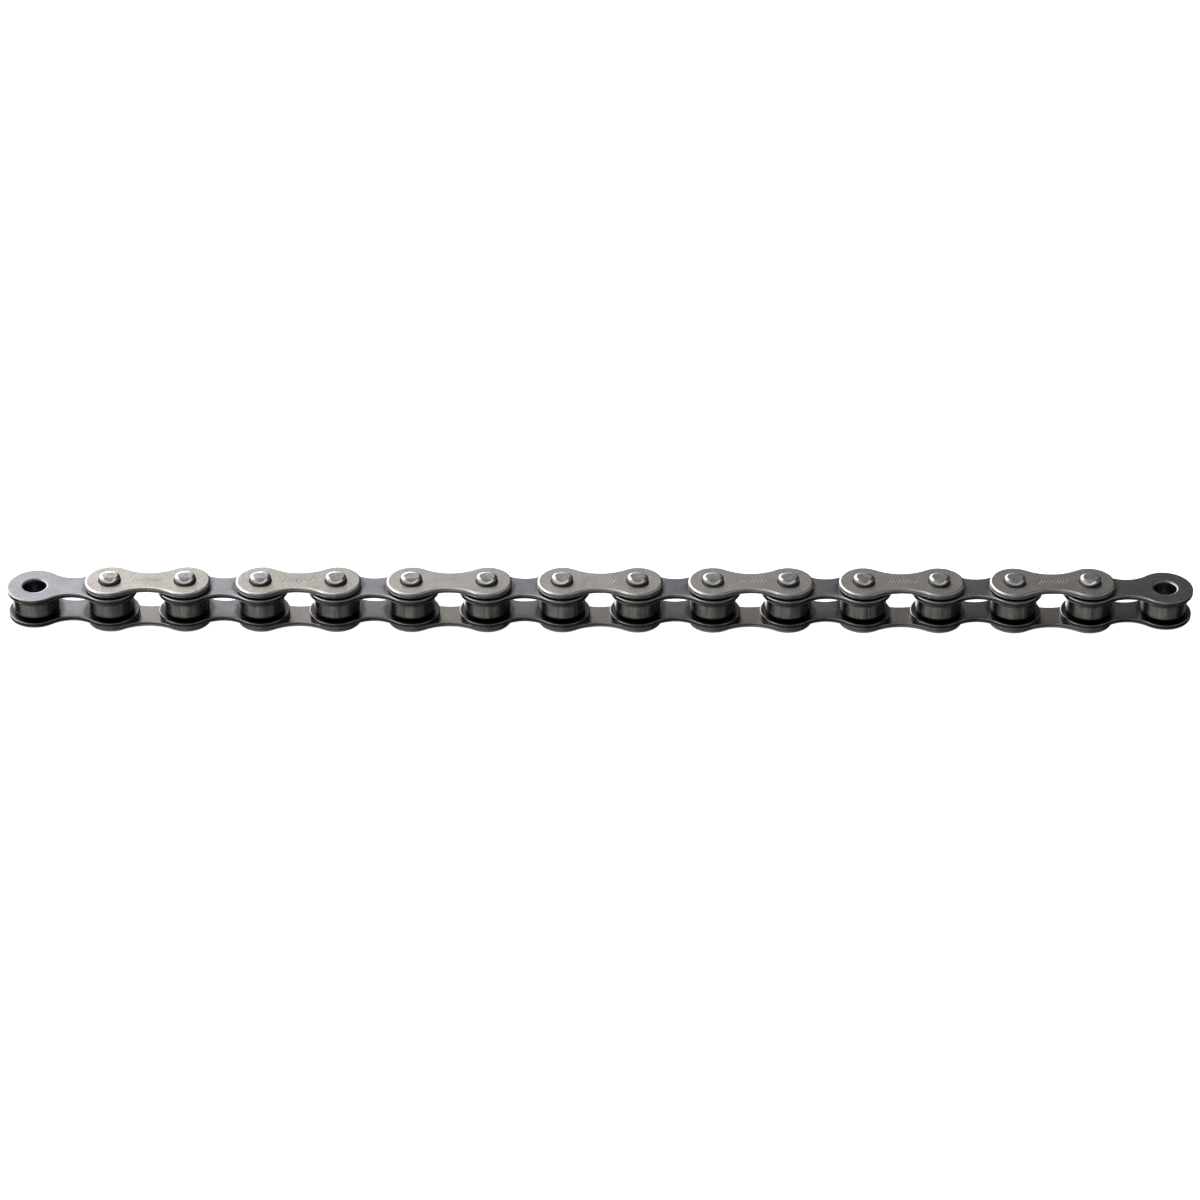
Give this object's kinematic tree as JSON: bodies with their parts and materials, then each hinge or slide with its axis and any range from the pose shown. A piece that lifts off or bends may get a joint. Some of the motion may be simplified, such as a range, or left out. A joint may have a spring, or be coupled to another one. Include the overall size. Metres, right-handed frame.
{
  "type": "roller chain",
  "caption": "Straight stretch of half-inch-pitch roller chain: waisted outer and inner plates, riveted pins and free-turning rollers, hinged at every pin.",
  "frame": {"origin": "under the middle of the middle outer link, level with the lower ends of the pins, on which the chain lies", "axes": "+X along the chain, +Y across it in the plane it bends in, +Z along the pins"},
  "size_m": [0.2, 0.0094, 0.0096],
  "materials": {
    "outer_plate": "satin nickel-plated steel, tumbled",
    "inner_plate": "dark blued steel, smooth satin",
    "pin": "ground steel, peened end faces",
    "roller": "dark hardened steel, drawn surface"
  },
  "bodies": {
    "outer_link_1": {"outer_link_1_upper_plate": "outer_plate", "outer_link_1_lower_plate": "outer_plate", "outer_link_1_left_pin": "pin", "outer_link_1_right_pin": "pin"},
    "outer_link_2": {"outer_link_2_upper_plate": "outer_plate", "outer_link_2_lower_plate": "outer_plate", "outer_link_2_left_pin": "pin", "outer_link_2_right_pin": "pin"},
    "outer_link_3": {"outer_link_3_upper_plate": "outer_plate", "outer_link_3_lower_plate": "outer_plate", "outer_link_3_left_pin": "pin", "outer_link_3_right_pin": "pin"},
    "outer_link_4": {"outer_link_4_upper_plate": "outer_plate", "outer_link_4_lower_plate": "outer_plate", "outer_link_4_left_pin": "pin", "outer_link_4_right_pin": "pin"},
    "outer_link_5": {"outer_link_5_upper_plate": "outer_plate", "outer_link_5_lower_plate": "outer_plate", "outer_link_5_left_pin": "pin", "outer_link_5_right_pin": "pin"},
    "outer_link_6": {"outer_link_6_upper_plate": "outer_plate", "outer_link_6_lower_plate": "outer_plate", "outer_link_6_left_pin": "pin", "outer_link_6_right_pin": "pin"},
    "outer_link_7": {"outer_link_7_upper_plate": "outer_plate", "outer_link_7_lower_plate": "outer_plate", "outer_link_7_left_pin": "pin", "outer_link_7_right_pin": "pin"},
    "inner_link_1": {"inner_link_1_upper_plate": "inner_plate", "inner_link_1_lower_plate": "inner_plate"},
    "inner_link_1_left_roller": {"inner_link_1_left_roller": "roller"},
    "inner_link_1_right_roller": {"inner_link_1_right_roller": "roller"},
    "inner_link_2": {"inner_link_2_upper_plate": "inner_plate", "inner_link_2_lower_plate": "inner_plate"},
    "inner_link_2_left_roller": {"inner_link_2_left_roller": "roller"},
    "inner_link_2_right_roller": {"inner_link_2_right_roller": "roller"},
    "inner_link_3": {"inner_link_3_upper_plate": "inner_plate", "inner_link_3_lower_plate": "inner_plate"},
    "inner_link_3_left_roller": {"inner_link_3_left_roller": "roller"},
    "inner_link_3_right_roller": {"inner_link_3_right_roller": "roller"},
    "inner_link_4": {"inner_link_4_upper_plate": "inner_plate", "inner_link_4_lower_plate": "inner_plate"},
    "inner_link_4_left_roller": {"inner_link_4_left_roller": "roller"},
    "inner_link_4_right_roller": {"inner_link_4_right_roller": "roller"},
    "inner_link_5": {"inner_link_5_upper_plate": "inner_plate", "inner_link_5_lower_plate": "inner_plate"},
    "inner_link_5_left_roller": {"inner_link_5_left_roller": "roller"},
    "inner_link_5_right_roller": {"inner_link_5_right_roller": "roller"},
    "inner_link_6": {"inner_link_6_upper_plate": "inner_plate", "inner_link_6_lower_plate": "inner_plate"},
    "inner_link_6_left_roller": {"inner_link_6_left_roller": "roller"},
    "inner_link_6_right_roller": {"inner_link_6_right_roller": "roller"},
    "inner_link_7": {"inner_link_7_upper_plate": "inner_plate", "inner_link_7_lower_plate": "inner_plate"},
    "inner_link_7_left_roller": {"inner_link_7_left_roller": "roller"},
    "inner_link_7_right_roller": {"inner_link_7_right_roller": "roller"},
    "inner_link_8": {"inner_link_8_upper_plate": "inner_plate", "inner_link_8_lower_plate": "inner_plate"},
    "inner_link_8_left_roller": {"inner_link_8_left_roller": "roller"},
    "inner_link_8_right_roller": {"inner_link_8_right_roller": "roller"}
  },
  "joints": [
    {"name": "outer_1_left_pin_hinge", "type": "hinge", "parent": "outer_link_1", "child": "inner_link_1", "pos_m": [-0.08255, 0, 0.00478], "axis": [0, 0, 1], "range_deg": [-135, 135]},
    {"name": "outer_1_right_pin_hinge", "type": "hinge", "parent": "inner_link_2", "child": "outer_link_1", "pos_m": [-0.06985, 0, 0.00478], "axis": [0, 0, -1], "range_deg": [-135, 135]},
    {"name": "outer_2_left_pin_hinge", "type": "hinge", "parent": "outer_link_2", "child": "inner_link_2", "pos_m": [-0.05715, 0, 0.00478], "axis": [0, 0, 1], "range_deg": [-135, 135]},
    {"name": "outer_2_right_pin_hinge", "type": "hinge", "parent": "inner_link_3", "child": "outer_link_2", "pos_m": [-0.04445, 0, 0.00478], "axis": [0, 0, -1], "range_deg": [-135, 135]},
    {"name": "outer_3_left_pin_hinge", "type": "hinge", "parent": "outer_link_3", "child": "inner_link_3", "pos_m": [-0.03175, 0, 0.00478], "axis": [0, 0, 1], "range_deg": [-135, 135]},
    {"name": "outer_3_right_pin_hinge", "type": "hinge", "parent": "inner_link_4", "child": "outer_link_3", "pos_m": [-0.01905, 0, 0.00478], "axis": [0, 0, -1], "range_deg": [-135, 135]},
    {"name": "outer_4_left_pin_hinge", "type": "hinge", "parent": "outer_link_4", "child": "inner_link_4", "pos_m": [-0.00635, 0, 0.00478], "axis": [0, 0, 1], "range_deg": [-135, 135]},
    {"name": "outer_4_right_pin_hinge", "type": "hinge", "parent": "outer_link_4", "child": "inner_link_5", "pos_m": [0.00635, 0, 0.00478], "axis": [0, 0, 1], "range_deg": [-135, 135]},
    {"name": "outer_5_left_pin_hinge", "type": "hinge", "parent": "inner_link_5", "child": "outer_link_5", "pos_m": [0.01905, 0, 0.00478], "axis": [0, 0, -1], "range_deg": [-135, 135]},
    {"name": "outer_5_right_pin_hinge", "type": "hinge", "parent": "outer_link_5", "child": "inner_link_6", "pos_m": [0.03175, 0, 0.00478], "axis": [0, 0, 1], "range_deg": [-135, 135]},
    {"name": "outer_6_left_pin_hinge", "type": "hinge", "parent": "inner_link_6", "child": "outer_link_6", "pos_m": [0.04445, 0, 0.00478], "axis": [0, 0, -1], "range_deg": [-135, 135]},
    {"name": "outer_6_right_pin_hinge", "type": "hinge", "parent": "outer_link_6", "child": "inner_link_7", "pos_m": [0.05715, 0, 0.00478], "axis": [0, 0, 1], "range_deg": [-135, 135]},
    {"name": "outer_7_left_pin_hinge", "type": "hinge", "parent": "inner_link_7", "child": "outer_link_7", "pos_m": [0.06985, 0, 0.00478], "axis": [0, 0, -1], "range_deg": [-135, 135]},
    {"name": "outer_7_right_pin_hinge", "type": "hinge", "parent": "outer_link_7", "child": "inner_link_8", "pos_m": [0.08255, 0, 0.00478], "axis": [0, 0, 1], "range_deg": [-135, 135]},
    {"name": "inner_1_left_roller_spin", "type": "hinge", "parent": "inner_link_1", "child": "inner_link_1_left_roller", "pos_m": [-0.09525, 0, 0.00478], "axis": [0, 0, 1], "continuous": true},
    {"name": "inner_1_right_roller_spin", "type": "hinge", "parent": "inner_link_1", "child": "inner_link_1_right_roller", "pos_m": [-0.08255, 0, 0.00478], "axis": [0, 0, 1], "continuous": true},
    {"name": "inner_2_left_roller_spin", "type": "hinge", "parent": "inner_link_2", "child": "inner_link_2_left_roller", "pos_m": [-0.06985, 0, 0.00478], "axis": [0, 0, 1], "continuous": true},
    {"name": "inner_2_right_roller_spin", "type": "hinge", "parent": "inner_link_2", "child": "inner_link_2_right_roller", "pos_m": [-0.05715, 0, 0.00478], "axis": [0, 0, 1], "continuous": true},
    {"name": "inner_3_left_roller_spin", "type": "hinge", "parent": "inner_link_3", "child": "inner_link_3_left_roller", "pos_m": [-0.04445, 0, 0.00478], "axis": [0, 0, 1], "continuous": true},
    {"name": "inner_3_right_roller_spin", "type": "hinge", "parent": "inner_link_3", "child": "inner_link_3_right_roller", "pos_m": [-0.03175, 0, 0.00478], "axis": [0, 0, 1], "continuous": true},
    {"name": "inner_4_left_roller_spin", "type": "hinge", "parent": "inner_link_4", "child": "inner_link_4_left_roller", "pos_m": [-0.01905, 0, 0.00478], "axis": [0, 0, 1], "continuous": true},
    {"name": "inner_4_right_roller_spin", "type": "hinge", "parent": "inner_link_4", "child": "inner_link_4_right_roller", "pos_m": [-0.00635, 0, 0.00478], "axis": [0, 0, 1], "continuous": true},
    {"name": "inner_5_left_roller_spin", "type": "hinge", "parent": "inner_link_5", "child": "inner_link_5_left_roller", "pos_m": [0.00635, 0, 0.00478], "axis": [0, 0, 1], "continuous": true},
    {"name": "inner_5_right_roller_spin", "type": "hinge", "parent": "inner_link_5", "child": "inner_link_5_right_roller", "pos_m": [0.01905, 0, 0.00478], "axis": [0, 0, 1], "continuous": true},
    {"name": "inner_6_left_roller_spin", "type": "hinge", "parent": "inner_link_6", "child": "inner_link_6_left_roller", "pos_m": [0.03175, 0, 0.00478], "axis": [0, 0, 1], "continuous": true},
    {"name": "inner_6_right_roller_spin", "type": "hinge", "parent": "inner_link_6", "child": "inner_link_6_right_roller", "pos_m": [0.04445, 0, 0.00478], "axis": [0, 0, 1], "continuous": true},
    {"name": "inner_7_left_roller_spin", "type": "hinge", "parent": "inner_link_7", "child": "inner_link_7_left_roller", "pos_m": [0.05715, 0, 0.00478], "axis": [0, 0, 1], "continuous": true},
    {"name": "inner_7_right_roller_spin", "type": "hinge", "parent": "inner_link_7", "child": "inner_link_7_right_roller", "pos_m": [0.06985, 0, 0.00478], "axis": [0, 0, 1], "continuous": true},
    {"name": "inner_8_left_roller_spin", "type": "hinge", "parent": "inner_link_8", "child": "inner_link_8_left_roller", "pos_m": [0.08255, 0, 0.00478], "axis": [0, 0, 1], "continuous": true},
    {"name": "inner_8_right_roller_spin", "type": "hinge", "parent": "inner_link_8", "child": "inner_link_8_right_roller", "pos_m": [0.09525, 0, 0.00478], "axis": [0, 0, 1], "continuous": true}
  ]
}
